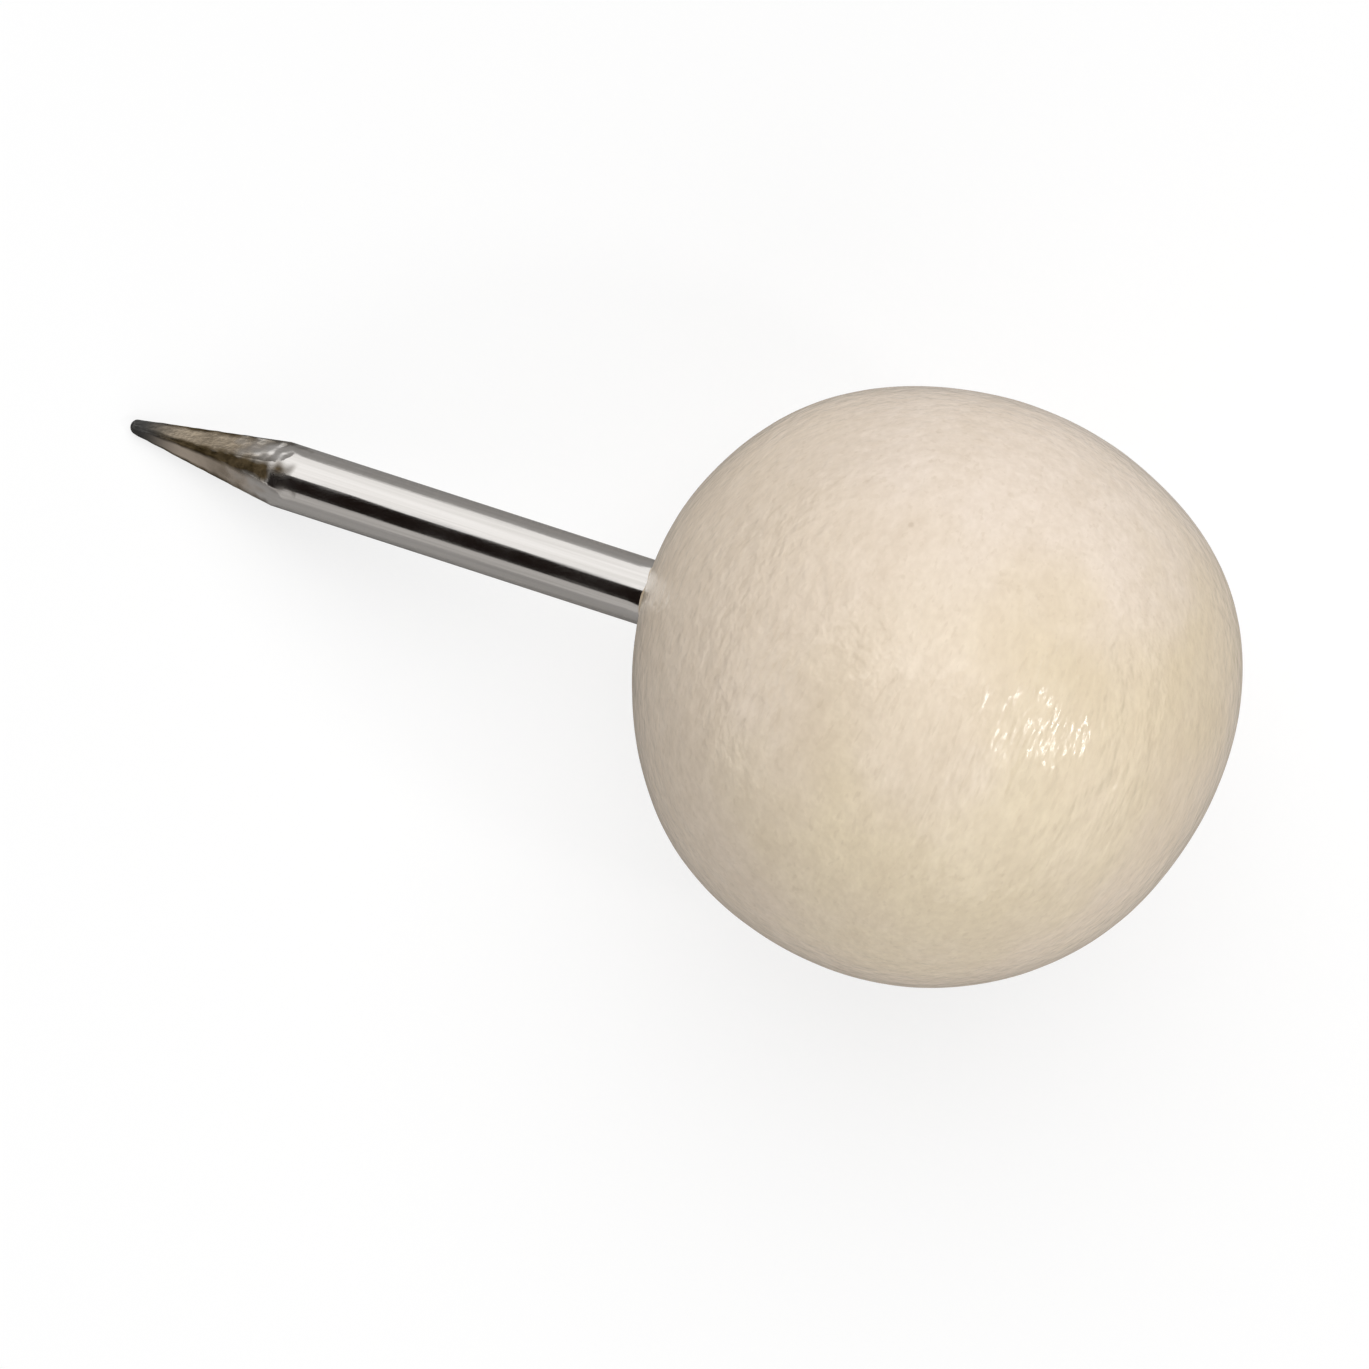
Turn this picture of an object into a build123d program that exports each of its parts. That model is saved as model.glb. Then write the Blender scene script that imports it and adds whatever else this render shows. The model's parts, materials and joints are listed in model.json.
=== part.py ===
"""Ball-head push pin: a turned wooden ball, drilled and glued on to a bright steel wire pin.

The pin lies the way it comes to rest on a flat surface: the ball and the tip of the wire both
touch z = 0. Millimetres, +Z up, tip towards -X, the wire's axis in the XZ plane. The origin is
the middle of the footprint, on the surface.
"""

import os
from math import asin, atan2, cos, degrees, radians, sin, sqrt, tan

from build123d import *

# Ball and its drilled hole
ball_d = 10.0            # stock turned ball
drill_d = 1.2            # drill for the wire, with room for a film of glue
drill_point = 118.0      # included angle of the drill's point
bottom_gap = 0.3         # hole left below the end of the wire
bell_length = 0.75       # stretch that the drill opened out as it went in
bell_d = 1.27            # hole where it meets the surface of the ball

# Wire
wire_d = 1.1             # bright plated steel wire
reach = 9.5              # wire standing out of the ball, to the very tip
root_depth = 6.0         # wire inside the ball
root_chamfer = 0.15      # broken edge on the cropped inner end
ring_count = 12          # shallow grip rings rolled into the root, up to the top of the glue
ring_depth = 0.06

# Point: a round taper with a blunt end, and four hollow flats pinched on to it
taper_angle = 9.3        # half angle of the round taper
tip_d = 0.24             # blunt round end
flat_count = 4
flat_turn = 37.0         # turn of the flats about the wire, which sets a ridge nearly uppermost
flat_length = 2.95       # from the very tip to where a flat runs out on the wire
flat_waist = 1.4         # from the very tip to the middle of a flat
flat_waist_r = 0.265     # from the axis to a flat, at its middle
flat_tip_r = 0.1         # from the axis to a flat, at the very tip

# Glue
glue_rise = 0.08         # height to which the ring of glue climbs the wire, above the ball
glue_hollow = 0.01       # hollow in the face of that ring

# Sizes that follow
ball_r = ball_d / 2
drill_r = drill_d / 2
bell_r = bell_d / 2
wire_r = wire_d / 2
tip_r = tip_d / 2

# Places along the wire's axis, measured from the middle of the ball towards the tip
root_end = ball_r - root_depth
hole_end = root_end - bottom_gap
hole_apex = hole_end - drill_r / tan(radians(drill_point / 2))
mouth = sqrt(ball_r**2 - bell_r**2)
bell_start = mouth - bell_length
glue_top = ball_r + glue_rise
tip_end = ball_r + reach
tip_centre = tip_end - tip_r
taper_end = tip_centre + tip_r * sin(radians(taper_angle))
taper_end_r = tip_r * cos(radians(taper_angle))
taper_start = taper_end - (wire_r - taper_end_r) / tan(radians(taper_angle))

# Lean of the wire that lets the ball and the round tip both touch z = 0
lean = asin((ball_r - tip_r) / tip_centre)
ball_x = (tip_centre * cos(lean) + tip_r - ball_r) / 2
ball_centre = (ball_x, 0, ball_r)
towards_tip = (-cos(lean), 0, -sin(lean))

# Half plane of the round pieces: x along the wire from the middle of the ball, y away from the wire
pin_axis = Axis(ball_centre, towards_tip)
profile_plane = Plane(origin=ball_centre, x_dir=towards_tip, z_dir=(0, 1, 0))

# Outline of the root, shared by the wire and the glue that keys into its rings
ring_start = root_end + root_chamfer
ring_pitch = (glue_top - ring_start) / ring_count
root_outline = [(root_end, 0), (root_end, wire_r - root_chamfer), (ring_start, wire_r)]
for ring in range(ring_count):
    root_outline.append((ring_start + (ring + 0.5) * ring_pitch, wire_r - ring_depth))
    root_outline.append((ring_start + (ring + 1) * ring_pitch, wire_r))

# Outline of the drilled hole, from its apex to the surface of the ball
hole_outline = [(hole_apex, 0), (hole_end, drill_r), (bell_start, drill_r), (mouth, bell_r)]

os.makedirs("parts", exist_ok=True)

# Turned ball, with the blind hole for the wire
with BuildPart() as ball_head:
    with BuildSketch(profile_plane):
        with BuildLine():
            mouth_angle = degrees(atan2(bell_r, mouth))
            CenterArc((0, 0), ball_r, mouth_angle, 180 - mouth_angle)
            Polyline((-ball_r, 0), *hole_outline)
        make_face()
    revolve(axis=pin_axis)

ball_head.part.label = "ball_head"
export_step(ball_head.part, "parts/ball_head.step")

# Steel wire: ringed root, plain shank and pinched point
with BuildPart() as steel_pin:
    with BuildSketch(profile_plane):
        with BuildLine():
            Polyline(*root_outline, (taper_start, wire_r), (taper_end, taper_end_r))
            CenterArc((tip_centre, 0), tip_r, 0, 90 - taper_angle)
            Line((tip_end, 0), (root_end, 0))
        make_face()
    revolve(axis=pin_axis)
    flat_planes = []
    for number in range(flat_count):
        along_flat = Vector(0, 1, 0).rotate(pin_axis, flat_turn + number * 360 / flat_count)
        flat_planes.append(Plane(origin=ball_centre, x_dir=towards_tip, z_dir=along_flat))
    with BuildSketch(*flat_planes):
        with BuildLine():
            flat_start = (tip_end - flat_length, wire_r)
            flat_end = (tip_end, flat_tip_r)
            ThreePointArc(flat_start, (tip_end - flat_waist, flat_waist_r), flat_end)
            Polyline(flat_end, (tip_end, wire_d), (tip_end - flat_length, wire_d), flat_start)
        make_face()
    extrude(amount=wire_d, both=True, mode=Mode.SUBTRACT)

steel_pin.part.label = "steel_pin"
export_step(steel_pin.part, "parts/steel_pin.step")

# Set glue: fills the hole around and below the root, and ends in a hollow ring at the mouth
with BuildPart() as glue_bond:
    with BuildSketch(profile_plane):
        with BuildLine():
            Polyline(*hole_outline)
            ring_middle = ((mouth + glue_top) / 2 - glue_hollow, (bell_r + wire_r) / 2 - glue_hollow)
            ThreePointArc((mouth, bell_r), ring_middle, (glue_top, wire_r))
            Polyline(*reversed(root_outline))
            Line((root_end, 0), (hole_apex, 0))
        make_face()
    revolve(axis=pin_axis)

glue_bond.part.label = "glue_bond"
export_step(glue_bond.part, "parts/glue_bond.step")

print(f"lean {degrees(lean):.3f} deg, ball centre {ball_x:.4f}, 0, {ball_r:.1f}")
print(f"plain shank from {glue_top:.3f} to {taper_start:.3f} along the wire")
for piece in (ball_head.part, steel_pin.part, glue_bond.part):
    box = piece.bounding_box()
    print(f"{piece.label}: {piece.volume:.3f} mm3, lowest at z {box.min.Z:.4f}")
    print(f"    x from {box.min.X:.3f} to {box.max.X:.3f}")
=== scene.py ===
# %% [markdown]
# # A ball-head push pin
# The object is a desk pin: a small turned wooden ball, glued on to a bright steel wire that ends in a
# pinched point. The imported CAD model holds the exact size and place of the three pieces. This lesson
# models each piece again as a fine mesh, with the marks that the lathe, the die and the glue leave on a
# real one, and then finishes it with materials that are made of nodes alone.

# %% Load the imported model
import json
from math import asin, atan, atan2, cos, degrees, exp, hypot, pi, radians, sin, sqrt, tan

import bmesh
import bpy
from mathutils import Matrix, Vector, noise


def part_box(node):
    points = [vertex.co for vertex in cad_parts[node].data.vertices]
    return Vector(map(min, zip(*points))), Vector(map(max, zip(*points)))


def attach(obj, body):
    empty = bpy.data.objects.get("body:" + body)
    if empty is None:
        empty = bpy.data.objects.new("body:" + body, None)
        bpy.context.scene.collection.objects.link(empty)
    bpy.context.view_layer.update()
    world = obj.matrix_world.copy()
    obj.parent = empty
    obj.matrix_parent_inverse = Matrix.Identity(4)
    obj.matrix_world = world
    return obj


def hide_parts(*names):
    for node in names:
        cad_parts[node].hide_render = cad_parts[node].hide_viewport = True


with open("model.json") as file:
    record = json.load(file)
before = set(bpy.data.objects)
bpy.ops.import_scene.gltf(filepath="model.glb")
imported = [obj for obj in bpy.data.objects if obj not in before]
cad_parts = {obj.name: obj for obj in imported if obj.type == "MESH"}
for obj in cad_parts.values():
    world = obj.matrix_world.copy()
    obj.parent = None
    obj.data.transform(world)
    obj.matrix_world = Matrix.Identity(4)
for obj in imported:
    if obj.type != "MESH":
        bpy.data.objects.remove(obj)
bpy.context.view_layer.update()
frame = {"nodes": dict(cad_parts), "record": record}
MM = 0.001
print("CAD pieces:", ", ".join(sorted(frame["nodes"])))

# %% [markdown]
# ## Take the measures
# The frame says where the pin lies: the ball and the tip both touch the ground, so the wire leans. Every
# place along the wire is measured from the middle of the ball towards the tip, because all three pieces
# are round about that line. The mount in the record gives the line and the size of the wire, and where
# each piece starts and ends is read off the CAD meshes, so that nothing has to be placed by eye.

# %% Measure the ball and the wire
shank = frame["record"]["mounts"][0]
towards_tip = Vector(shank["axis"]).normalized()
wire_r = shank["dims"]["r_mm"] * MM
ball_low, ball_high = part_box("ball_head")
ball_centre = (ball_low + ball_high) / 2
ball_r = ball_centre.z
lean = asin(-towards_tip.z)


def reach_along_wire(node_name):
    """Gives the first and the last place of a CAD node along the wire."""
    corners = frame["nodes"][node_name].data.vertices
    places = [(corner.co - ball_centre).dot(towards_tip) for corner in corners]
    return min(places), max(places)


root_end, tip_end = reach_along_wire("steel_pin")
hole_apex, glue_top = reach_along_wire("glue_bond")
print(f"ball radius {ball_r / MM:.3f} mm, wire radius {wire_r / MM:.3f} mm, lean {degrees(lean):.2f} deg")
print(f"wire from {root_end / MM:.3f} to {tip_end / MM:.3f} mm, glue up to {glue_top / MM:.3f} mm")

# %% [markdown]
# ## Helpers for modelling upright
# A round thing is easiest to model standing on its axis. Each piece is made with the middle of the ball at
# the origin and the wire pointing straight down. Operators act on whatever is selected, so one helper
# opens a clean edit session, one picks by place, and one draws a ring of edges out along the wire, the way
# a profile is drawn on a lathe.

# %% Edit, pick and draw out
def start_editing(piece):
    """Opens edit mode on one piece alone, with nothing selected in it."""
    bpy.ops.object.select_all(action="DESELECT")
    piece.select_set(True)
    bpy.context.view_layer.objects.active = piece
    bpy.ops.object.mode_set(mode="EDIT")
    bpy.ops.mesh.select_mode(type="VERT")
    bpy.ops.mesh.select_all(action="DESELECT")


def pick(piece, kind, wanted):
    """Selects the vertices, edges or faces whose corners all pass a test of their place."""
    bpy.ops.mesh.select_mode(type=kind)
    bpy.ops.mesh.select_all(action="DESELECT")
    shape = bmesh.from_edit_mesh(piece.data)
    items = {"VERT": shape.verts, "EDGE": shape.edges, "FACE": shape.faces}[kind]
    for item in items:
        corners = [item] if kind == "VERT" else item.verts
        item.select_set(all(wanted(corner.co) for corner in corners))
    shape.select_flush_mode()
    bmesh.update_edit_mesh(piece.data)


def from_axis(point):
    """Gives the distance of a point from the upright axis."""
    return hypot(point.x, point.y)


def draw_out(outline):
    """Extrudes the selected ring through the (place, radius) pairs of an outline, from its first pair."""
    place, radius = outline[0]
    for next_place, next_radius in outline[1:]:
        bpy.ops.mesh.extrude_region_move(TRANSFORM_OT_translate={"value": (0, 0, place - next_place)})
        grow = next_radius / radius
        bpy.ops.transform.resize(value=(grow, grow, 1), center_override=(0, 0, -next_place))
        place, radius = next_place, next_radius


# %% [markdown]
# ## Helpers for finishing a piece
# When a piece has its shape, its faces are turned outwards and its gentle edges are shaded smooth. It is
# then laid down into its place, and its turn and place are applied, so that the object itself sits at the
# origin. Patterns on Object coordinates depend on that.

# %% Smooth and lay down
def finish_editing(piece, smooth_angle):
    """Turns all faces outwards, leaves edit mode and smooths every edge gentler than an angle."""
    bpy.ops.mesh.select_all(action="SELECT")
    bpy.ops.mesh.normals_make_consistent(inside=False)
    bpy.ops.object.mode_set(mode="OBJECT")
    bpy.ops.object.shade_smooth_by_angle(angle=radians(smooth_angle))
    print(f"{piece.name}: {len(piece.data.polygons)} faces")


def lay_down(piece):
    """Turns an upright piece on to the wire's lean, moves it to its place and applies both."""
    bpy.ops.object.select_all(action="DESELECT")
    piece.select_set(True)
    bpy.context.view_layer.objects.active = piece
    piece.rotation_euler = (0, pi / 2 - lean, 0)
    piece.location = ball_centre
    bpy.ops.object.transform_apply(location=True, rotation=True, scale=True)


# %% [markdown]
# ## The ball
# The head is turned from a pale, close-grained hardwood, then drilled for the wire. The drill opens the
# hole out a little where it goes in. A UV sphere with its pole on the wire is a good start, because the
# hole then comes from one ring of edges: the cap is deleted, the open ring is set to the size of the
# mouth and drawn inwards, and the lip is bevelled, as the sanding drum would break it.

# %% Turn and drill the ball
BALL_SEGMENTS = 360
BALL_RINGS = 180
LIP_SEGMENTS = 3
drill_r = 0.6 * MM
drill_point = 118
mouth_r = 0.635 * MM
bell_length = 0.75 * MM
lip_round = 0.02 * MM
TINY = 0.0005 * MM

mouth = sqrt(ball_r**2 - mouth_r**2)
hole_end = hole_apex + drill_r / tan(radians(drill_point / 2))
hole_outline = [(mouth, mouth_r), (mouth - bell_length, drill_r), (hole_end, drill_r), (hole_apex, TINY)]

bpy.ops.object.select_all(action="DESELECT")
bpy.ops.mesh.primitive_uv_sphere_add(segments=BALL_SEGMENTS, ring_count=BALL_RINGS, radius=ball_r)
ball = bpy.context.object
ball.name = "turned_ball"
start_editing(ball)
pick(ball, "FACE", lambda point: point.z < 0 and from_axis(point) < mouth_r)
bpy.ops.mesh.delete(type="FACE")
bpy.ops.mesh.select_mode(type="EDGE")
bpy.ops.mesh.select_non_manifold()

rim = next(vertex.co for vertex in bmesh.from_edit_mesh(ball.data).verts if vertex.select)
widen = mouth_r / from_axis(rim)
bpy.ops.transform.translate(value=(0, 0, -mouth - rim.z))
bpy.ops.transform.resize(value=(widen, widen, 1), center_override=(0, 0, -mouth))
draw_out(hole_outline)
bpy.ops.mesh.merge(type="CENTER")

pick(ball, "EDGE", lambda point: abs(point.z + mouth) < TINY and abs(from_axis(point) - mouth_r) < TINY)
bpy.ops.mesh.bevel(offset=lip_round, segments=LIP_SEGMENTS, affect="EDGES")
finish_editing(ball, smooth_angle=40)
lay_down(ball)

# %% [markdown]
# ## The ball is not quite round
# Small balls are turned fast and tumbled smooth, so they come out slightly flat on one side and full on
# another. Proportional editing does the same: one vertex is moved and the surface around it follows. The
# directions are those of the picture, in which the pin points to the left and a little upwards. Each push
# has an angle round the picture, in degrees, and a distance in millimetres, which is negative inwards.

# %% Push the ball out of round
tip_rise = radians(18.8)
picture_right = Vector((cos(tip_rise), sin(tip_rise), 0))
picture_up = Vector((-sin(tip_rise), cos(tip_rise), 0))
push_size = 3.2 * MM
pushes = {14: 0.12, 58: -0.10, 86: -0.12, 115: 0.02, 180: -0.09, 245: -0.05, 283: -0.04, 322: -0.08}

start_editing(ball)
for angle, amount in pushes.items():
    outward = cos(radians(angle)) * picture_right + sin(radians(angle)) * picture_up
    shape = bmesh.from_edit_mesh(ball.data)
    nearest = min(shape.verts, key=lambda vertex: (vertex.co - ball_centre - ball_r * outward).length)
    bpy.ops.mesh.select_all(action="DESELECT")
    nearest.select_set(True)
    bmesh.update_edit_mesh(ball.data)
    bpy.ops.transform.translate(
        value=amount * MM * outward,
        use_proportional_edit=True,
        proportional_edit_falloff="SMOOTH",
        proportional_size=push_size,
    )
bpy.ops.object.mode_set(mode="OBJECT")
print("ball now measures", [round(side / MM, 3) for side in ball.dimensions], "mm")

# %% [markdown]
# ## Marks of sanding
# Wood sands away unevenly, because soft and hard fibres wear at different rates. A Displace modifier with
# a cloud texture moves the surface by a few thousandths of a millimetre, which is too little to see as a
# shape but breaks up the edge of the highlight. Applied, it is real geometry, and survives an export.

# %% Leave the surface slightly uneven
hollow_size = 1.3 * MM
hollow_depth = 0.020 * MM

clouds = bpy.data.textures.new("sanding_hollows", type="CLOUDS")
clouds.noise_scale = hollow_size
clouds.noise_depth = 2
sanding = ball.modifiers.new("sanding_hollows", "DISPLACE")
sanding.texture = clouds
sanding.texture_coords = "LOCAL"
sanding.strength = hollow_depth
bpy.ops.object.select_all(action="DESELECT")
bpy.context.view_layer.objects.active = ball
ball.select_set(True)
bpy.ops.object.modifier_apply(modifier=sanding.name)
print(f"{ball.name}: hollows {hollow_depth / MM:.3f} mm deep, {hollow_size / MM:.1f} mm across")

# %% [markdown]
# ## The outline of the wire
# The pin is one length of hard bright wire. Its root inside the ball has shallow grip rings, its shank is
# plain, and its end tapers to a blunt round tip. Since it is round, half of its outline says it all: for
# each place along the wire, a radius. This first part is the root and the rule for the rest.

# %% Plan the root and the taper
RING_COUNT = 12
ring_depth = 0.06 * MM
root_chamfer = 0.15 * MM
taper_angle = 9.3
tip_r = 0.12 * MM

tip_centre = tip_end - tip_r
taper_end = tip_centre + tip_r * sin(radians(taper_angle))
taper_end_r = tip_r * cos(radians(taper_angle))
taper_start = taper_end - (wire_r - taper_end_r) / tan(radians(taper_angle))


def wire_radius(place):
    """Gives the round wire's radius at a place beyond the glue, before any flat is pressed on it."""
    if place < taper_start:
        return wire_r
    if place < taper_end:
        return wire_r - (place - taper_start) * tan(radians(taper_angle))
    return max(TINY, sqrt(max(0, tip_r**2 - (place - tip_centre) ** 2)))


ring_start = root_end + root_chamfer
ring_pitch = (glue_top - ring_start) / RING_COUNT
root_outline = [(root_end, wire_r - root_chamfer), (ring_start, wire_r)]
for ring in range(RING_COUNT):
    root_outline.append((ring_start + (ring + 0.5) * ring_pitch, wire_r - ring_depth))
    root_outline.append((ring_start + (ring + 1) * ring_pitch, wire_r))
print(f"{RING_COUNT} grip rings, {ring_pitch / MM:.3f} mm apart; taper from {taper_start / MM:.3f} mm")

# %% [markdown]
# ## Draw the wire out
# The wire starts as one ring of edges, which is extruded from place to place along the outline. The places
# are far apart on the shank and close together on the point, where the next steps have to press flats into
# them. On the round tip they are spaced by angle, so that the dome is smooth.

# %% Draw the wire out
WIRE_SIDES = 192
DOME_STEPS = 10
shank_step = 0.2 * MM
point_step = 0.03 * MM
flat_length = 2.95 * MM
point_margin = 0.3 * MM
point_start = tip_end - flat_length - point_margin


def even_places(first, last, step):
    """Gives places from after the first to the last, spaced evenly at about one step."""
    count = max(1, round((last - first) / step))
    return [first + (last - first) * number / count for number in range(1, count + 1)]


wire_places = even_places(glue_top, point_start, shank_step)
wire_places += even_places(point_start, taper_end, point_step)
for step in range(1, DOME_STEPS + 1):
    climb = radians(taper_angle + (90 - taper_angle) * step / DOME_STEPS)
    wire_places.append(tip_centre + tip_r * sin(climb))
wire_outline = root_outline + [(place, wire_radius(place)) for place in wire_places]

bpy.ops.object.select_all(action="DESELECT")
bpy.ops.mesh.primitive_circle_add(vertices=WIRE_SIDES, radius=root_outline[0][1], fill_type="NOTHING")
wire = bpy.context.object
wire.name = "bright_wire"
start_editing(wire)
bpy.ops.mesh.select_all(action="SELECT")
bpy.ops.transform.translate(value=(0, 0, -root_end))
draw_out(wire_outline)
bpy.ops.mesh.merge(type="CENTER")
pick(wire, "EDGE", lambda point: abs(point.z + root_end) < TINY)
bpy.ops.mesh.edge_face_add()
print(f"wire drawn through {len(wire_outline)} rings")

# %% [markdown]
# ## The dies that pinch the point
# Two pairs of dies pinch the end of the wire to a point with four hollow flats. Along the wire a flat is an
# arc: it starts at the wire's surface, goes through a waist and ends close to the axis at the tip. The
# circle through those three points is the face of the die.

# %% Shape the dies
flat_waist = 1.4 * MM
flat_waist_r = 0.265 * MM
flat_tip_r = 0.10 * MM


def circle_through(a, b, c):
    """Gives the centre and the radius of the circle through three points of a plane."""
    (ax, ay), (bx, by), (cx, cy) = a, b, c
    twice_area = 2 * (ax * (by - cy) + bx * (cy - ay) + cx * (ay - by))
    a2, b2, c2 = ax**2 + ay**2, bx**2 + by**2, cx**2 + cy**2
    x = (a2 * (by - cy) + b2 * (cy - ay) + c2 * (ay - by)) / twice_area
    y = (a2 * (cx - bx) + b2 * (ax - cx) + c2 * (bx - ax)) / twice_area
    return x, y, hypot(ax - x, ay - y)


die_x, die_y, die_r = circle_through(
    (tip_end - flat_length, wire_r), (tip_end - flat_waist, flat_waist_r), (tip_end, flat_tip_r)
)


def flat_distance(place):
    """Gives how far a flat lies from the axis at a place along the wire."""
    return die_y - sqrt(max(0, die_r**2 - (place - die_x) ** 2))


print(f"the dies have a radius of {die_r / MM:.2f} mm")

# %% [markdown]
# ## Where the flats cut
# The four flats are a quarter turn apart, and they run out raggedly, because the dies chatter. No operator
# presses a shape like that, so the next two steps go through the vertices of the point in code. Both need
# the same facts about a vertex: how ragged the metal is there, how far it is from the tip, its turn round
# the wire in degrees, and the gap from the wire's surface out to the flat, which is below 0 inside a flat.

# %% Find where the flats cut
flat_angle = 90
point_turn = 8
fresh_cut = 1.9 * MM
burnished = 2.6 * MM
grain_of_marks = 0.16 * MM
chatter = 0.014 * MM


def ramp(value, start, end):
    """Gives 0 to 1 while a value goes from start to end."""
    return min(1, max(0, (value - start) / (end - start)))


def facts_about(vertex):
    """Gives the raggedness, the distance from the tip, the turn and the gap to the flat at a vertex."""
    ragged = noise.noise(vertex.co / grain_of_marks)
    place = -vertex.co.z
    from_tip = tip_end - place
    turn = degrees(atan2(vertex.co.y, vertex.co.x)) - point_turn
    depth = flat_distance(place) + chatter * ragged * ramp(from_tip, fresh_cut, burnished)
    gap = depth / cos(radians(turn % flat_angle - flat_angle / 2)) - from_axis(vertex.co)
    return ragged, from_tip, turn, gap


def on_point(vertex):
    """Says whether a vertex is on the point, and not on the axis, where it has no turn."""
    return -vertex.co.z >= point_start and from_axis(vertex.co) >= TINY


shape = bmesh.from_edit_mesh(wire.data)
for mark in ("sheared", "rubbed_and_lightened", "ridge"):
    shape.verts.layers.float.new(mark)
marks = shape.verts.layers.float
point_vertices = [vertex for vertex in shape.verts if on_point(vertex)]
print(f"{len(point_vertices)} vertices on the point")

# %% [markdown]
# ## Which steel is where
# The first pair of dies shears the steel and the second only rubs it. The rubbed flats are also lightened,
# which is painted light against the black card that they reflect. A dark brown stripe is painted along the
# ridges between the flats, partly a real scorch and partly a painted reflection of the black card, which
# carries the dark line of the shank on to the point. Three float attributes keep these marks on the mesh,
# for the material to read. They are set before the flats are pressed, because how ragged the metal is
# depends on where the vertex is. How wide the dark stripe is, and how it frays, is in degrees from the
# ridge.

# %% Keep the marks
cut_wander = 0.3 * MM
dark_ridge_start = 3.2 * MM
dark_ridge_wander = 0.4 * MM
dark_ridge_core = 9
dark_ridge_edge = 20
dark_ridge_spread = 12
dark_ridge_fray = 6

cut_count = 0
for vertex in point_vertices:
    ragged, from_tip, turn, gap = facts_about(vertex)
    if gap < 0:
        # The rubbed flats are given a lighter steel later, which is painted light.
        mark = "sheared" if turn % (2 * flat_angle) > flat_angle else "rubbed_and_lightened"
        vertex[marks[mark]] = ramp(from_tip + cut_wander * ragged, burnished, fresh_cut)
        cut_count += 1
    # The ridge mark is a painted dark stripe: partly scorch, partly a painted reflection of the black card.
    from_ridge = flat_angle / 2 - abs(turn % flat_angle - flat_angle / 2)
    outer_edge = dark_ridge_edge + dark_ridge_spread * ramp(from_tip, flat_waist, burnished)
    along_ridge = ramp(from_tip + dark_ridge_wander * ragged, dark_ridge_start, burnished)
    across_ridge = ramp(from_ridge + dark_ridge_fray * ragged, outer_edge, dark_ridge_core)
    vertex[marks["ridge"]] = along_ridge * across_ridge
print(f"{cut_count} of them inside a flat")

# %% [markdown]
# ## The pinched point
# Each vertex inside a flat is drawn in to it. The metal that is pushed aside stands up as a fine burr round
# the flat, so a vertex just outside is lifted, less the further it is from the flat.

# %% Press the flats
burr_height = 0.010 * MM
burr_width = 0.035 * MM
burr_mean = 0.7
burr_swing = 0.8

for vertex in point_vertices:
    ragged, _, _, gap = facts_about(vertex)
    radius = from_axis(vertex.co)
    if gap < 0:
        new_radius = radius + gap
    else:
        burr = burr_height * (burr_mean + burr_swing * ragged)
        new_radius = radius + burr * exp(-((gap / burr_width) ** 2))
    vertex.co.x *= new_radius / radius
    vertex.co.y *= new_radius / radius
bmesh.update_edit_mesh(wire.data)
finish_editing(wire, smooth_angle=28)
lay_down(wire)

# %% [markdown]
# ## The glue
# A drop of glue fills the hole round the root, and a thin ring of it shows where the wire goes in. It
# climbs the wire a little and its face is hollow, as a liquid dries. It is drawn out like the wire: up the
# wall of the hole, over the ring, and back down along the grip rings, so that it is one closed skin.

# %% Fill the hole with glue
GLUE_SIDES = 128
MENISCUS_STEPS = 8
glue_hollow = 0.015 * MM
glue_spread = 0.02 * MM

glue_r = mouth_r + glue_spread
glue_foot = sqrt(ball_r**2 - glue_r**2)
meniscus = []
for step in range(MENISCUS_STEPS + 1):
    share = step / MENISCUS_STEPS
    sag = glue_hollow * sin(pi * share)
    climb = glue_foot + (glue_top - glue_foot) * share
    meniscus.append((climb - sag, glue_r + (wire_r - glue_r) * share - sag))
glue_outline = list(reversed(hole_outline)) + meniscus + list(reversed(root_outline[:-1]))
glue_outline.append((root_end, TINY))

bpy.ops.object.select_all(action="DESELECT")
bpy.ops.mesh.primitive_circle_add(vertices=GLUE_SIDES, radius=TINY, fill_type="NOTHING")
glue = bpy.context.object
glue.name = "glue_ring"
start_editing(glue)
bpy.ops.mesh.select_all(action="SELECT")
bpy.ops.transform.translate(value=(0, 0, -hole_apex))
draw_out(glue_outline)
bpy.ops.mesh.merge(type="CENTER")
pick(glue, "VERT", lambda point: from_axis(point) < 2 * TINY and point.z > -hole_apex - TINY)
bpy.ops.mesh.merge(type="CENTER")
print(f"glue drawn through {len(glue_outline)} rings")

# %% [markdown]
# ## Glue never dries evenly
# A ring of one size all round looks like a machined collar. Here each vertex of the ring is scaled about
# the wire by a slow noise, so the ring is fuller on one side and thinner on another. Its foot is set a
# little below the ball's surface, so that no gap opens under it.

# %% Make the ring uneven
glue_sink = 0.03 * MM
glue_unevenness = 0.9
glue_lump = 0.45 * MM
below_ring = -2 * glue_hollow

shape = bmesh.from_edit_mesh(glue.data)
sizes_of_ring = []
for vertex in shape.verts:
    climb = -vertex.co.z - glue_foot
    if climb < below_ring:
        continue
    radius = from_axis(vertex.co)
    size = 1 + glue_unevenness * noise.noise(vertex.co / glue_lump)
    foot_r = wire_r + (glue_r - wire_r) * size
    new_radius = wire_r + (radius - wire_r) * size
    vertex.co.x *= new_radius / radius
    vertex.co.y *= new_radius / radius
    vertex.co.z = glue_sink - sqrt(ball_r**2 - foot_r**2) - climb * size
    sizes_of_ring.append(size)
bmesh.update_edit_mesh(glue.data)
print(f"ring from {min(sizes_of_ring):.2f} to {max(sizes_of_ring):.2f} of its size")
finish_editing(glue, smooth_angle=50)
lay_down(glue)

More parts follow.
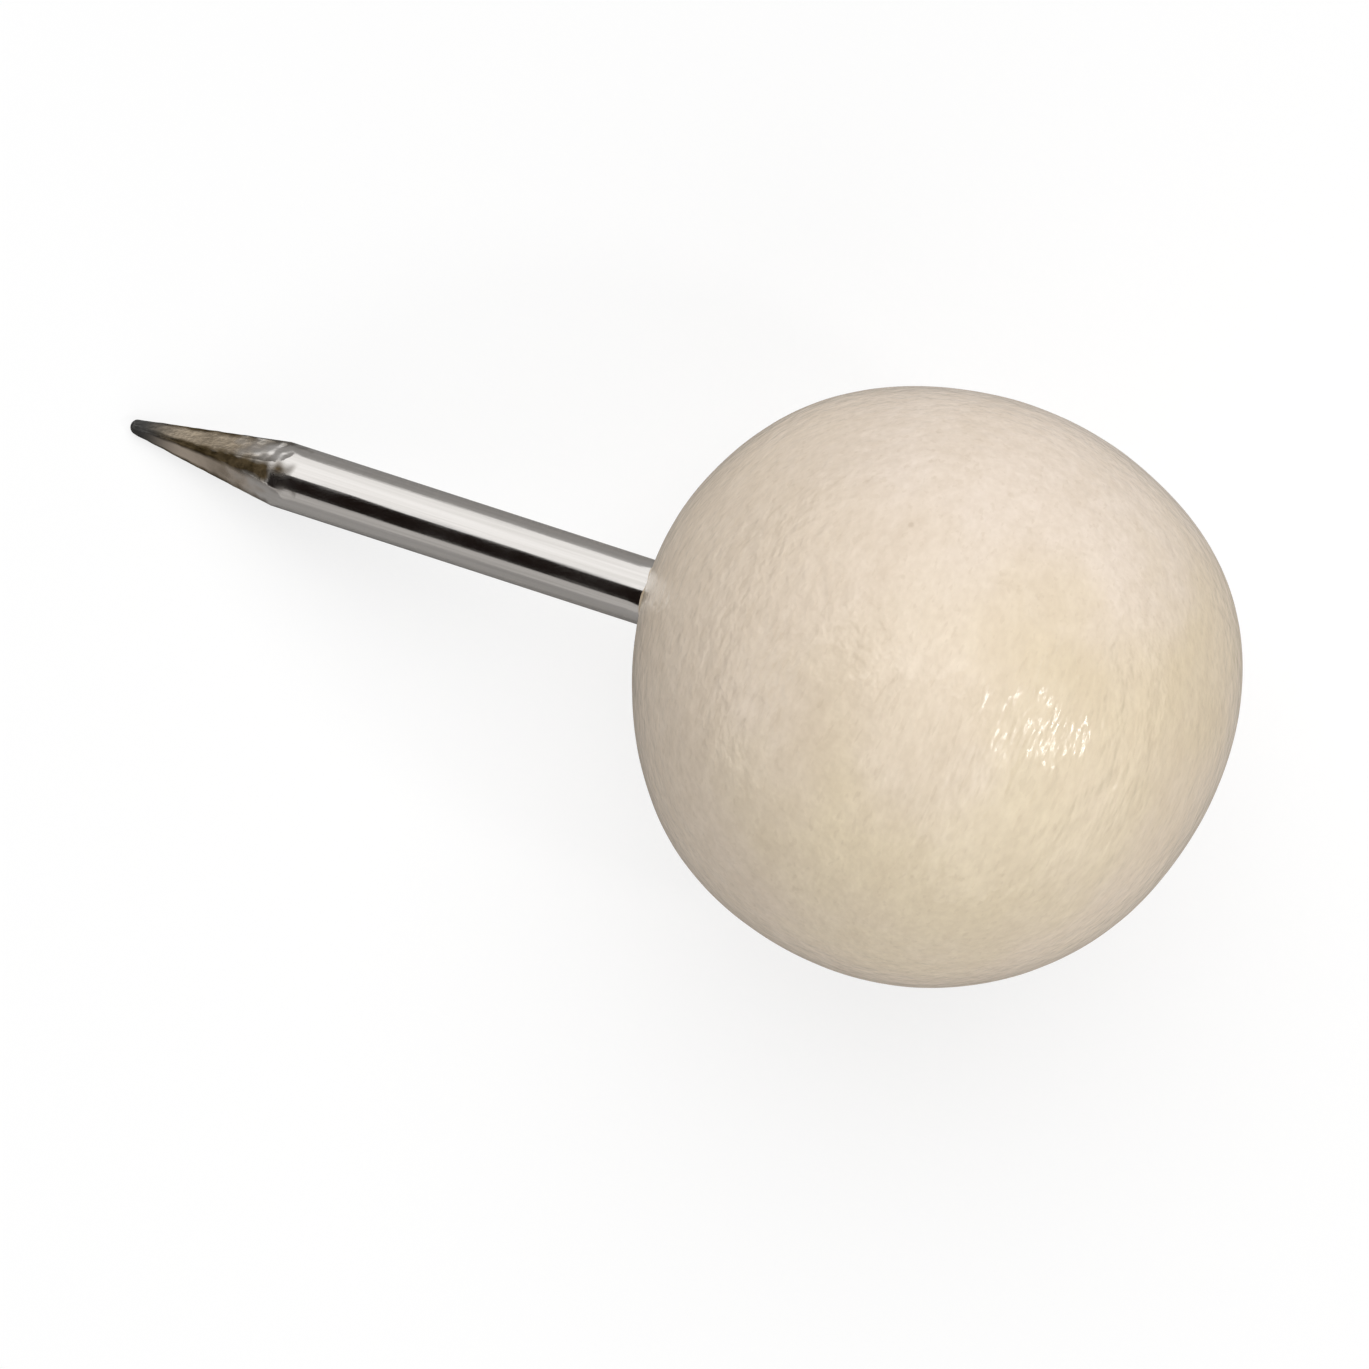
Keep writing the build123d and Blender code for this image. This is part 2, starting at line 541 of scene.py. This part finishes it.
# %% [markdown]
# ## Tie the pieces to the CAD model
# Each mesh stands for one CAD node, which is hidden, and the material made for it later bears the name of
# that node's slot. A push pin has no moving parts, so all three ride on the one body, root.

# %% Replace the CAD nodes
for piece, node, slot in (
    (ball, "ball_head", "turned_wood"),
    (wire, "steel_pin", "plated_steel"),
    (glue, "glue_bond", "set_glue"),
):
    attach(piece, "root")
    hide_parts(node)
    print(f"{piece.name} stands for {node}")

# %% [markdown]
# ## Helpers for materials
# A material is a graph of nodes. These helpers add a node, set its inputs to numbers or to other nodes'
# outputs, and cover the jobs that come up first: sums on numbers and on vectors, and easing a value from
# one level to another.

# %% Put nodes together
def put(tree, kind, inputs=None, **settings):
    """Adds a node with its settings, and gives each input a value or a link."""
    node = tree.nodes.new(kind)
    for name, value in settings.items():
        setattr(node, name, value)
    for name, value in (inputs or {}).items():
        if isinstance(value, bpy.types.NodeSocket):
            tree.links.new(value, node.inputs[name])
        else:
            node.inputs[name].default_value = value
    return node


def calc(tree, operation, first, second=0.0):
    """Gives the result of one sum on two values."""
    return put(tree, "ShaderNodeMath", {0: first, 1: second}, operation=operation).outputs[0]


def vector_calc(tree, operation, first, second):
    """Gives the result of one sum on two vectors."""
    return put(tree, "ShaderNodeVectorMath", {0: first, 1: second}, operation=operation).outputs[0]


def ease(tree, value, start, end, low=0.0, high=1.0):
    """Gives a value eased from low to high while another goes from start to end."""
    levels = {"Value": value, "From Min": start, "From Max": end, "To Min": low, "To Max": high}
    return put(tree, "ShaderNodeMapRange", levels, interpolation_type="SMOOTHSTEP").outputs[0]


# %% [markdown]
# ## Two shared effects
# Wood fibres and the lines that a die draws along a wire are the same pattern: noise that is stretched
# along one axis. Soft stains are noise that is left round. Both are wanted in more than one material, so
# each is a node group, with its scale as an input.

# %% Streaks and mottle
def new_group(name, inputs, output):
    """Starts a node group with a place, some numbers and one output, and gives its tree and inputs."""
    tree = bpy.data.node_groups.new(name, "ShaderNodeTree")
    tree.interface.new_socket("Place", in_out="INPUT", socket_type="NodeSocketVector")
    for socket in inputs:
        tree.interface.new_socket(socket, in_out="INPUT", socket_type="NodeSocketFloat")
    tree.interface.new_socket(output, in_out="OUTPUT", socket_type="NodeSocketFloat")
    return tree, tree.nodes.new("NodeGroupInput").outputs


streak_group, given = new_group("streaks", ["Lines Per Mm", "Stretch"], "Streak")
crosswise = given["Lines Per Mm"]
lengthwise = calc(streak_group, "DIVIDE", crosswise, given["Stretch"])
scale = put(streak_group, "ShaderNodeCombineXYZ", {0: crosswise, 1: crosswise, 2: lengthwise}).outputs[0]
scaled = vector_calc(streak_group, "MULTIPLY", given["Place"], scale)
lines = put(streak_group, "ShaderNodeTexNoise", {"Vector": scaled, "Scale": 1.0, "Detail": 2.0}).outputs[0]
put(streak_group, "NodeGroupOutput", {"Streak": ease(streak_group, lines, start=0.25, end=0.75)})

mottle_group, given = new_group("mottle", ["Size In Mm"], "Mottle")
fineness = calc(mottle_group, "DIVIDE", 1.0, given["Size In Mm"])
cloud = {"Vector": given["Place"], "Scale": fineness, "Detail": 3.0}
cloud = put(mottle_group, "ShaderNodeTexNoise", cloud).outputs[0]
put(mottle_group, "NodeGroupOutput", {"Mottle": ease(mottle_group, cloud, start=0.3, end=0.7)})


def streaks(tree, place, per_mm, stretch):
    """Gives streaks along Z, from 0 to 1."""
    inputs = {"Place": place, "Lines Per Mm": per_mm, "Stretch": stretch}
    return put(tree, "ShaderNodeGroup", inputs, node_tree=streak_group).outputs[0]


def mottle(tree, place, size):
    """Gives soft stains of one size in millimetres, from 0 to 1."""
    inputs = {"Place": place, "Size In Mm": size}
    return put(tree, "ShaderNodeGroup", inputs, node_tree=mottle_group).outputs[0]


print("node groups:", streak_group.name, mottle_group.name)

# %% [markdown]
# ## Places and new materials
# Patterns are worked out in a space in millimetres that is centred on a point of the object, with one
# axis along the wire or along the grain. A Mapping node turns Object coordinates into that space.

# %% Set up spaces and materials
def places_in_mm(tree, centre, axis):
    """Gives a pattern space in millimetres, centred on a point, with its Z along an axis."""
    space = put(tree, "ShaderNodeTexCoord").outputs["Object"]
    centred = put(tree, "ShaderNodeMapping", {"Vector": space, "Location": -centre}).outputs[0]
    turn = axis.rotation_difference(Vector((0, 0, 1))).to_euler("XYZ")
    size = (1 / MM, 1 / MM, 1 / MM)
    return put(tree, "ShaderNodeMapping", {"Vector": centred, "Rotation": turn, "Scale": size}).outputs[0]


def new_material(name):
    """Starts a material and gives it with its tree and its shader."""
    material = bpy.data.materials.new(name)
    material.use_nodes = True
    return material, material.node_tree, material.node_tree.nodes["Principled BSDF"]


# %% [markdown]
# ## Pale turned wood: the grain
# The wood is a fine, pale hardwood, such as birch or lime, sanded and given a thin satin coat. Its fibres
# run one way through the whole ball, so the pattern is solid: it is worked out in space and cut by the
# surface. The fibres wander a little, and the growth rings are circles about a pith that lies outside the
# ball. Within each ring the wood darkens slowly, and the ring then ends sharply.

# %% Lay out the grain
def length(tree, vector):
    """Gives the length of a vector."""
    return put(tree, "ShaderNodeVectorMath", {0: vector}, operation="LENGTH").outputs["Value"]


grain_tilt = radians(15)
grain_angle = radians(65)
wanders_per_mm = 0.22
wander_width = (0.9, 0.9, 0.0)
pith = (9.0, -5.0, 0.0)
ring_width = 1.9

grain_axis = cos(grain_angle) * picture_right + sin(grain_angle) * picture_up
grain_axis = cos(grain_tilt) * grain_axis + sin(grain_tilt) * Vector((0, 0, 1))
wood, tree, shader = new_material("turned_wood")
grain = places_in_mm(tree, ball_centre, grain_axis)
drift = {"Vector": grain, "Scale": wanders_per_mm, "Detail": 1.0}
drift = put(tree, "ShaderNodeTexNoise", drift).outputs["Color"]
drift = vector_calc(tree, "SUBTRACT", drift, (0.5, 0.5, 0.5))
wavy = vector_calc(tree, "ADD", grain, vector_calc(tree, "MULTIPLY", drift, wander_width))

from_pith = vector_calc(tree, "MULTIPLY", vector_calc(tree, "SUBTRACT", wavy, pith), (1, 1, 0))
year = calc(tree, "FRACT", calc(tree, "DIVIDE", length(tree, from_pith), ring_width))
darkening = ease(tree, year, start=0.35, end=0.88)
late_wood = calc(tree, "MULTIPLY", darkening, ease(tree, year, start=1.0, end=0.92))
print(f"growth rings {ring_width} mm wide")

# %% [markdown]
# ## Stains in the wood
# The wood is cream, with yellower and pinker stains that have soft, uneven edges. One paler patch near the
# middle is no stain but a painted sheen, the broad glow of the satin coat that the broad lamps would give
# if they were mirrored. A stain is the distance from a point on top of the ball, made uneven by a mottle
# and eased from 1 to 0. Its point is given as it is seen in the picture, to the right and upwards in ball
# radii, and its extent in millimetres. The sheen patch is made in the same way. One helper mixes two
# colours, and one tints a colour where a mask says so.

# %% Stain the wood
def blend(tree, amount, first, second):
    """Gives a mix of two colours."""
    return put(tree, "ShaderNodeMix", {0: amount, 6: first, 7: second}, data_type="RGBA").outputs[2]


def tint(tree, colour, mask, strength, tone):
    """Gives a colour with a share of a tone in it, up to a strength where the mask is 1."""
    return blend(tree, calc(tree, "MULTIPLY", mask, strength), colour, tone)


CREAM = (0.84, 0.716, 0.58, 1)
# The palest cream is the colour of the painted sheen, not of the wood.
PAINTED_SHEEN_CREAM = (0.89, 0.765, 0.63, 1)
YELLOW_CREAM = (0.83, 0.712, 0.52, 1)
DEEP_YELLOW = (0.765, 0.645, 0.463, 1)
PINK_CREAM = (0.86, 0.745, 0.636, 1)
edge_size = 2.0
edge_unevenness = 1.2


def stain(tree, right, up, inside, outside):
    """Gives a soft, uneven patch round a point on top of the ball, from 1 inside to 0 outside."""
    rise = sqrt(1 - right**2 - up**2)
    middle = ball_centre + ball_r * (right * picture_right + up * picture_up + rise * Vector((0, 0, 1)))
    away = length(tree, places_in_mm(tree, middle, grain_axis))
    uneven = calc(tree, "SUBTRACT", mottle(tree, grain, edge_size), 0.5)
    away = calc(tree, "ADD", away, calc(tree, "MULTIPLY", uneven, edge_unevenness))
    return ease(tree, away, start=outside, end=inside)


yellow_right = stain(tree, right=0.60, up=0.20, inside=1.6, outside=4.8)
yellow_front = stain(tree, right=0.00, up=-0.53, inside=1.6, outside=4.4)
pink_back = stain(tree, right=0.30, up=0.80, inside=2.0, outside=5.0)
# The patch near the middle is a painted sheen, not a stain in the wood.
painted_sheen_patch = stain(tree, right=-0.06, up=-0.15, inside=0.4, outside=2.4)

colour = blend(tree, yellow_right, CREAM, DEEP_YELLOW)
colour = blend(tree, yellow_front, colour, YELLOW_CREAM)
colour = blend(tree, pink_back, colour, PINK_CREAM)
# Tint the cream with the painted sheen.
colour = tint(tree, colour, painted_sheen_patch, strength=0.7, tone=PAINTED_SHEEN_CREAM)
print(f"{wood.name}: {len(tree.nodes)} nodes after the stains")

# %% [markdown]
# ## Fibres, pores and specks
# Close to, pale wood is full of short fibres that are a little darker, with finer ones between them, small
# pores and now and then a brown speck. Round the hole the glue has soaked in and darkened it. Each is a
# faint tint on top of the stains, so that none of them stands out by itself.

# %% Draw the fibres
LATE_WOOD = (0.66, 0.53, 0.37, 1)
FIBRE_BROWN = (0.56, 0.44, 0.31, 1)
SPECK_BROWN = (0.30, 0.19, 0.10, 1)
GLUE_STAIN = (0.62, 0.49, 0.32, 1)
specks_per_mm = 0.55

fibres = streaks(tree, wavy, per_mm=3.6, stretch=1.7)
fine_fibres = streaks(tree, grain, per_mm=11.0, stretch=1.8)
pores = ease(tree, streaks(tree, wavy, per_mm=9.0, stretch=4.0), start=0.80, end=0.95)
specks = put(tree, "ShaderNodeTexVoronoi", {"Vector": grain, "Scale": specks_per_mm}).outputs["Distance"]

colour = tint(tree, colour, late_wood, strength=0.08, tone=LATE_WOOD)
colour = tint(tree, colour, fibres, strength=0.18, tone=FIBRE_BROWN)
colour = tint(tree, colour, fine_fibres, strength=0.16, tone=FIBRE_BROWN)
colour = tint(tree, colour, pores, strength=0.16, tone=FIBRE_BROWN)
colour = blend(tree, ease(tree, specks, start=0.04, end=0.015, high=0.20), colour, SPECK_BROWN)

beside_wire = places_in_mm(tree, ball_centre, towards_tip)
apart = put(tree, "ShaderNodeSeparateXYZ", {0: beside_wire}).outputs
across = put(tree, "ShaderNodeCombineXYZ", {0: apart[0], 1: apart[1]}).outputs[0]
near_hole = ease(tree, length(tree, across), start=1.15, end=0.7, high=0.5)
near_hole = calc(tree, "MULTIPLY", near_hole, ease(tree, apart[2], start=0.0, end=1.0))
colour = blend(tree, near_hole, colour, GLUE_STAIN)
tree.links.new(colour, shader.inputs["Base Color"])
print(f"{wood.name}: {len(tree.nodes)} nodes after the fibres")

# %% [markdown]
# ## Gloss and raised grain
# The satin coat is thin, so the grain stands up through it. It is raised most in one patch at the right,
# and faintly below that, where it breaks the highlight into short strokes. The left side is a little
# coarser than the rest, like orange peel. The relief is at most a few hundredths of a millimetre high,
# which shows in the gloss and not in the outline, so it is a bump.

# %% Coat the wood
def scale_and_add(tree, value, factor, base):
    """Gives a value times a factor, plus a base."""
    return calc(tree, "ADD", calc(tree, "MULTIPLY", value, factor), base)


grain_height = 0.037 * MM
fuzz_height = 0.0015 * MM
faint_share = 0.6
coarse_share = 0.24

sheen_patches = mottle(tree, grain, size=1.4)
roughness = scale_and_add(tree, sheen_patches, factor=0.06, base=0.16)
tree.links.new(roughness, shader.inputs["Roughness"])
shader.inputs["Specular IOR Level"].default_value = 0.5

strong_grain = stain(tree, right=0.36, up=-0.21, inside=1.2, outside=2.6)
faint_grain = stain(tree, right=0.24, up=-0.42, inside=1.4, outside=3.2)
faint_grain = calc(tree, "MULTIPLY", faint_grain, faint_share)
raised_grain = calc(tree, "MAXIMUM", strong_grain, faint_grain)
ridges = calc(tree, "MULTIPLY", streaks(tree, wavy, per_mm=3.1, stretch=2.4), raised_grain)
coarse = stain(tree, right=-0.60, up=0.25, inside=1.2, outside=3.6)
coarse = calc(tree, "MULTIPLY", coarse, coarse_share)
coarse = calc(tree, "ADD", coarse, ease(tree, raised_grain, start=0.0, end=1.0, low=0.27, high=0.1))
peel = calc(tree, "MULTIPLY", streaks(tree, wavy, per_mm=4.0, stretch=1.3), coarse)

relief = {"Height": calc(tree, "ADD", ridges, peel), "Strength": 1.0, "Distance": grain_height}
raised = put(tree, "ShaderNodeBump", relief).outputs[0]
fuzz = {"Height": fine_fibres, "Strength": 1.0, "Distance": fuzz_height, "Normal": raised}
tree.links.new(put(tree, "ShaderNodeBump", fuzz).outputs[0], shader.inputs["Normal"])
ball.data.materials.append(wood)
print(f"{wood.name}: {len(tree.nodes)} nodes, grain raised by {grain_height / MM:.3f} mm")

# %% [markdown]
# ## Bright plated steel: where each mark is
# The wire is drawn through a die and plated, so it is a mirror along its length with faint lines in it. The
# flats were cut after plating: the steel that the first dies sheared is dull and brownish, and the flats
# that the second dies rubbed are painted a lighter tan, as painted light against the black card that they
# reflect. The ridges between are painted dark brown, partly scorch and partly a painted reflection of the
# black card, and the very end is painted dark, a painted dark reflection. The attributes that the pressing
# left on the mesh tell them apart. All cut steel is gritty.

# %% Find the marks on the wire
steel, tree, shader = new_material("plated_steel")
along = places_in_mm(tree, ball_centre, towards_tip)
place = put(tree, "ShaderNodeSeparateXYZ", {0: along}).outputs[2]


def mark_on_mesh(tree, name):
    """Gives one of the attributes that the pressing left."""
    return put(tree, "ShaderNodeAttribute", attribute_name=name).outputs["Fac"]


def before_tip(distance):
    """Gives a place along the wire in millimetres, at a distance before the tip."""
    return (tip_end - distance * MM) / MM


sheared = mark_on_mesh(tree, "sheared")
rubbed_and_lightened = mark_on_mesh(tree, "rubbed_and_lightened")
ridge = mark_on_mesh(tree, "ridge")
cut = calc(tree, "MAXIMUM", calc(tree, "MAXIMUM", sheared, rubbed_and_lightened), ridge)
# The last millimetre is painted dark, a painted dark reflection of the blunt end.
painted_dark_end = ease(tree, place, start=before_tip(1.1), end=before_tip(0.2))
drawn_lines = streaks(tree, along, per_mm=14.0, stretch=60.0)
grit = mottle(tree, along, size=0.07)
print(f"{steel.name}: {len(tree.nodes)} nodes for the marks")

# %% [markdown]
# ## The colours of the steel
# The colours are laid over each other: plate with darker drawn lines, then sheared steel and the lighter
# rubbed steel, whose lightness is painted light, then brown patches where the cutting heated it, then a
# blotched dark stripe along the ridges, partly scorch and partly painted reflection, and last the dark end,
# which is a painted dark reflection.

# %% Colour the steel
BRIGHT_PLATE = (0.87, 0.84, 0.81, 1)
DULL_PLATE = (0.66, 0.635, 0.60, 1)
SHEARED_STEEL = (0.60, 0.50, 0.375, 1)
# The rubbed steel is lighter as painted light, against the black card that those flats reflect.
RUBBED_AND_LIGHTENED_STEEL = (0.82, 0.70, 0.58, 1)
BROWNED_STEEL = (0.10, 0.07, 0.032, 1)
# These two dark browns are partly scorch and partly a painted reflection of the black card.
SCORCH_AND_DARK_REFLECTION = (0.045, 0.03, 0.012, 1)
SCORCH_AND_REFLECTION_EDGE = (0.17, 0.125, 0.068, 1)
# This dark steel darkens the grit, and it is also the painted dark reflection at the end.
DARK_GRIT_AND_PAINTED_END = (0.09, 0.088, 0.085, 1)

plate = tint(tree, BRIGHT_PLATE, drawn_lines, strength=0.6, tone=DULL_PLATE)
torn = tint(tree, SHEARED_STEEL, grit, strength=0.25, tone=DARK_GRIT_AND_PAINTED_END)
colour = blend(tree, sheared, plate, torn)
# The lighter rubbed steel is painted light, for the flats that reflect the black card.
colour = blend(tree, rubbed_and_lightened, colour, RUBBED_AND_LIGHTENED_STEEL)
heated = ease(tree, place, start=before_tip(1.0), end=before_tip(1.7))
browning = calc(tree, "MULTIPLY", mottle(tree, along, size=0.4), heated)
brown_patches = calc(tree, "MULTIPLY", browning, cut)
colour = tint(tree, colour, brown_patches, strength=0.5, tone=BROWNED_STEEL)
# Along the ridges: partly real scorch, partly a painted reflection of the black card.
scorch_and_dark_reflection = blend(tree, mottle(tree, along, size=0.35), SCORCH_AND_DARK_REFLECTION, SCORCH_AND_REFLECTION_EDGE)
colour = blend(tree, ridge, colour, scorch_and_dark_reflection)
# The end is painted dark, as a painted dark reflection.
tree.links.new(blend(tree, painted_dark_end, colour, DARK_GRIT_AND_PAINTED_END), shader.inputs["Base Color"])
print(f"{steel.name}: {len(tree.nodes)} nodes after the colours")

# %% [markdown]
# ## Gloss and scoring of the steel
# Plate is smooth with duller patches, and cut steel is rougher. The drawn lines are scored a thousandth of
# a millimetre deep, and the grit of the cut steel twice that, which is just enough to break a reflection.

# %% Polish and score the steel
line_depth = 0.0010 * MM
grit_height = 0.002 * MM

plate_roughness = scale_and_add(tree, mottle(tree, along, size=0.7), factor=0.06, base=0.13)
bare_roughness = scale_and_add(tree, ridge, factor=0.10, base=0.28)
roughness = put(tree, "ShaderNodeMix", {0: cut, 2: plate_roughness, 3: bare_roughness}).outputs[0]
tree.links.new(roughness, shader.inputs["Roughness"])
shader.inputs["Metallic"].default_value = 1.0
scored = {"Height": drawn_lines, "Strength": 1.0, "Distance": line_depth}
scored = put(tree, "ShaderNodeBump", scored).outputs[0]
bare_grit = calc(tree, "MULTIPLY", grit, cut)
rough = {"Height": bare_grit, "Strength": 1.0, "Distance": grit_height, "Normal": scored}
tree.links.new(put(tree, "ShaderNodeBump", rough).outputs[0], shader.inputs["Normal"])
wire.data.materials.append(steel)
print(f"{steel.name}: {len(tree.nodes)} nodes")

# %% [markdown]
# ## Set glue
# Wood glue dries to an amber, glossy skin, close to the colour of the wood that it has soaked into. It is a
# simple finish, but not a flat one: it is a little cloudy, and drier patches are less glossy.

# %% Finish the glue
CLEAR_GLUE = (0.68, 0.57, 0.43, 1)
CLOUDY_GLUE = (0.60, 0.48, 0.34, 1)
skin_height = 0.004 * MM

dry_glue, tree, shader = new_material("set_glue")
cloudy = mottle(tree, places_in_mm(tree, ball_centre, towards_tip), size=0.35)
tree.links.new(blend(tree, cloudy, CLEAR_GLUE, CLOUDY_GLUE), shader.inputs["Base Color"])
tree.links.new(scale_and_add(tree, cloudy, factor=0.15, base=0.2), shader.inputs["Roughness"])
skin = put(tree, "ShaderNodeBump", {"Height": cloudy, "Strength": 1.0, "Distance": skin_height})
tree.links.new(skin.outputs[0], shader.inputs["Normal"])
glue.data.materials.append(dry_glue)
print(f"{dry_glue.name}: {len(tree.nodes)} nodes")

# %% [markdown]
# ## White ground
# The pin lies on white card. What the eye sees of it, directly or in the metal, is mostly an even glow,
# which lights nothing. So the ground stays white with no more light on the wood, and it keeps the shadow
# but softens it.

# %% Lay the ground
GROUND_WHITE = (0.93, 0.93, 0.93, 1)
GROUND_GLOW = 0.78
ground_size = 4
ground_drop = 0.02 * MM


def seen_directly(tree):
    """Gives 1 for what the camera sees, also by reflection or through glass, and 0 for light on things."""
    path = put(tree, "ShaderNodeLightPath").outputs
    seen = calc(tree, "MAXIMUM", path["Is Camera Ray"], path["Is Glossy Ray"])
    return calc(tree, "MAXIMUM", seen, path["Is Transmission Ray"])


bpy.ops.object.select_all(action="DESELECT")
bpy.ops.mesh.primitive_plane_add(size=ground_size, location=(0, 0, -ground_drop))
ground = bpy.context.object
ground.name = "white_ground"
card, tree, shader = new_material("white_card")
shader.inputs["Base Color"].default_value = GROUND_WHITE
shader.inputs["Roughness"].default_value = 1.0
shader.inputs["Specular IOR Level"].default_value = 0.0
glow = put(tree, "ShaderNodeEmission").outputs[0]
share = calc(tree, "MULTIPLY", seen_directly(tree), GROUND_GLOW)
surface = put(tree, "ShaderNodeMixShader", {0: share, 1: shader.outputs[0], 2: glow}).outputs[0]
tree.links.new(surface, tree.nodes["Material Output"].inputs["Surface"])
ground.data.materials.append(card)
print(f"{ground.name}: {ground_size} m square")

# %% [markdown]
# ## A white room
# The world is white for what the eye and the metal see, and dark grey for what lights the pin, so that
# nearly all of its light comes from the lamps.

# %% Set the room
AMBIENT = 0.06

world = bpy.data.worlds.new("soft_room")
world.use_nodes = True
bpy.context.scene.world = world
tree = world.node_tree
levels = {"Value": seen_directly(tree), "To Min": AMBIENT, "To Max": 1.0}
sky = tree.nodes["Background"]
sky.inputs["Color"].default_value = (1, 1, 1, 1)
tree.links.new(put(tree, "ShaderNodeMapRange", levels).outputs[0], sky.inputs["Strength"])
print(f"{world.name}: white to the eye, {AMBIENT} as light")

# %% [markdown]
# ## Soft light
# Two broad lamps, at the back and in front, light the pin evenly, and a smaller one at the right makes the
# highlight on the ball. Only that one is mirrored in gloss, because the broad ones would wash the grain
# out. The angles are in degrees: round the picture from its right, and from straight above.

# %% Set the lamps
def add_lamp(name, picture_angle, from_zenith, softness, power, mirrored):
    """Adds a sun on one side of the picture, at an angle from straight above, mirrored in gloss or not."""
    sideways = cos(radians(picture_angle)) * picture_right + sin(radians(picture_angle)) * picture_up
    towards_lamp = cos(radians(from_zenith)) * Vector((0, 0, 1)) + sin(radians(from_zenith)) * sideways
    bpy.ops.object.light_add(type="SUN", rotation=towards_lamp.to_track_quat("Z", "Y").to_euler())
    lamp = bpy.context.object
    lamp.name = name
    lamp.data.energy = power
    lamp.data.angle = radians(softness)
    lamp.visible_glossy = mirrored
    print(f"{name}: {power} at {from_zenith} deg from straight above")


add_lamp("back_lamp", picture_angle=85, from_zenith=28, softness=60, power=2.5, mirrored=False)
add_lamp("front_lamp", picture_angle=-76, from_zenith=55, softness=60, power=1.05, mirrored=False)
add_lamp("side_lamp", picture_angle=-25, from_zenith=44, softness=8.5, power=0.42, mirrored=True)

# %% [markdown]
# ## Cards for the metal
# A mirror-bright wire shows what is round it. In an all-white room it would vanish, so a photographer sets
# cards round it: a black one overhead, whose reflection draws the dark line along the shank, a grey one
# upright in front, and a grey one on the table, which shows along both edges of the wire. They are out of
# the picture and only reflections see them, so they take no light away from the wood. The first two are
# of one even tone. The lamps light the one on the table, so the wire shows its own shadow too.

# %% Set up the cards
BLACK_PAPER = (0.009, 0.006, 0.005, 1)
GREY_PAPER = (0.46, 0.45, 0.44, 1)
DARK_PAPER = (0.29, 0.285, 0.28, 1)
card_height = 0.6
card_depth = 1.65 * card_height
card_width = 2.4 * card_height
card_middle = -0.7 * card_height
table_card_size = 1.6
table_card_drop = 0.01 * MM


def set_card(name, middle, tilt, width, depth, tone, lit):
    """Adds a card that only reflections see, of one even tone or lit by the lamps."""
    bpy.ops.object.select_all(action="DESELECT")
    bpy.ops.mesh.primitive_plane_add(size=1, location=middle, rotation=(tilt, 0, 0))
    panel = bpy.context.object
    panel.name = name
    panel.scale = (width, depth, 1)
    bpy.ops.object.transform_apply(location=True, rotation=True, scale=True)
    paper, tree, shader = new_material(name)
    shader.inputs["Specular IOR Level"].default_value = 0.0
    shader.inputs["Base Color"].default_value = tone if lit else (0, 0, 0, 1)
    shader.inputs["Emission Color"].default_value = tone
    shader.inputs["Emission Strength"].default_value = 0.0 if lit else 1.0
    panel.data.materials.append(paper)
    panel.visible_camera = False
    panel.visible_diffuse = False
    panel.visible_shadow = False
    print(f"{name}: {width:.2f} by {depth:.2f} m")


overhead = (card_middle, -card_depth / 2, card_height)
in_front = (card_middle, -card_depth, card_height / 2)
under_pin = (0, 0, -table_card_drop)
set_card("black_card", overhead, 0, card_width, card_depth, BLACK_PAPER, lit=False)
set_card("front_card", in_front, pi / 2, card_width, card_height, GREY_PAPER, lit=False)
set_card("table_card", under_pin, 0, table_card_size, table_card_size, DARK_PAPER, lit=True)

# %% [markdown]
# ## The camera
# The picture was taken from nearly straight above with a long lens, and the pin lies to the right of where
# the lens points, so it is seen a little from its left. A camera far away with a long lens gives the same
# view. It is turned so that the pin points to the left and slightly upwards.

# %% Aim the camera
camera_height = 700 * MM
camera_left = 39.2 * MM
camera_down = 19.4 * MM
picture_width = 22.4 * MM
ball_from_middle = 4.06 * MM

aim = ball_centre - ball_from_middle * picture_right
eye = aim - camera_left * picture_right - camera_down * picture_up + Vector((0, 0, camera_height))
bpy.ops.object.camera_add(location=eye)
camera = bpy.context.object
camera.name = "picture_camera"
backwards = (eye - aim).normalized()
sideways = picture_up.cross(backwards).normalized()
upwards = backwards.cross(sideways)
camera.rotation_euler = Matrix((sideways, upwards, backwards)).transposed().to_euler()
half_view = atan(picture_width / 2 / (eye - aim).length)
camera.data.lens = camera.data.sensor_width / 2 / tan(half_view)
camera.data.clip_start = 0.01
bpy.context.scene.camera = camera
bpy.context.scene.view_settings.view_transform = "Standard"
print(f"lens {camera.data.lens:.0f} mm, {(eye - aim).length:.3f} m away")
